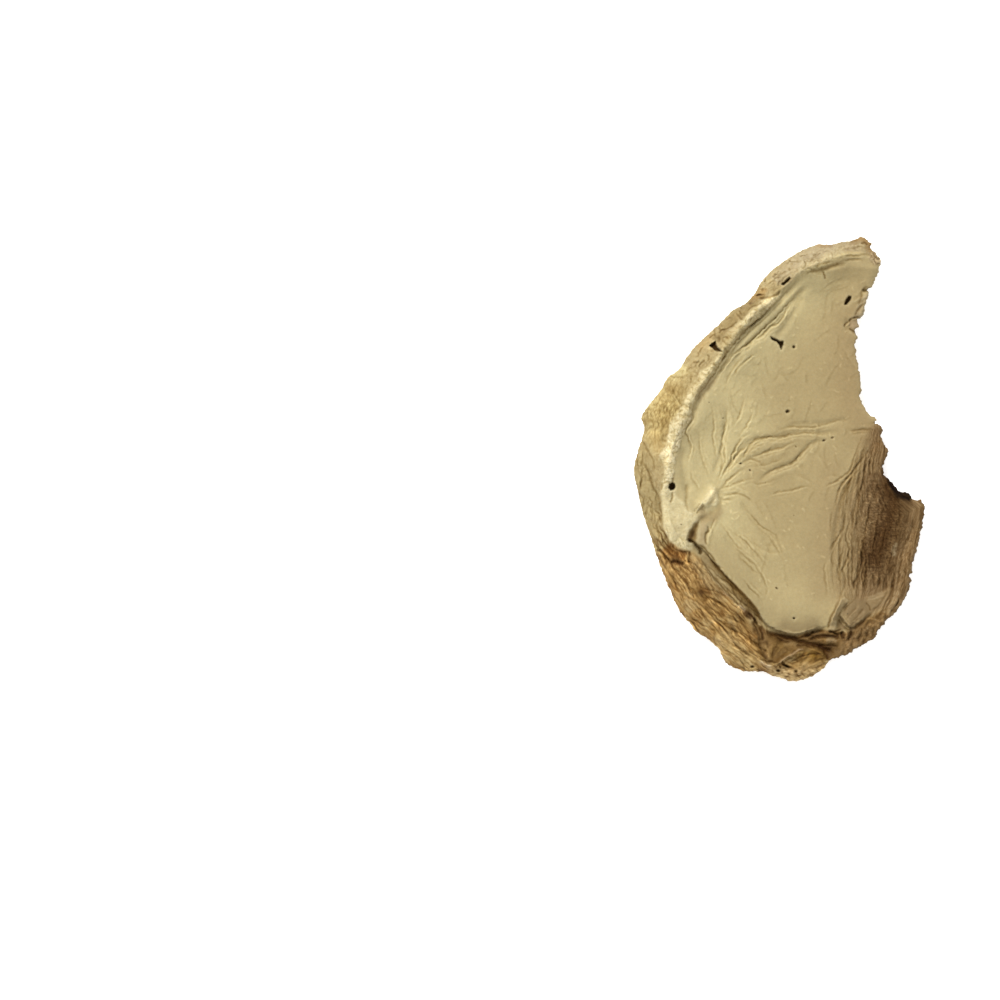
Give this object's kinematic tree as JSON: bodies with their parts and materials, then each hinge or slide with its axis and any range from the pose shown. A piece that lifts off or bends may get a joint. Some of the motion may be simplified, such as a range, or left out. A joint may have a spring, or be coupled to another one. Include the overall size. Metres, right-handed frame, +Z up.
{
  "type": "dried button mushroom flake",
  "caption": "Dried slice of mushroom cap: a dished pale cut face behind a raised crest, wrinkled skin round the rim, a grooved brown band and a torn edge.",
  "frame": {"origin": "the middle of the flake's bounding box, on the surface that it rests on", "axes": "+X from the domed skin edge towards the torn edge, +Y along the flake towards its pointed tip, +Z up out of the cut face"},
  "size_m": [0.032, 0.049, 0.0045],
  "materials": {
    "dried_flesh": "matt, cream to tan on the cut face, orange-brown on the wrinkled skin, dark brown on the grooved band"
  },
  "bodies": {
    "root": {"mushroom_flake": "dried_flesh"}
  },
  "joints": []
}
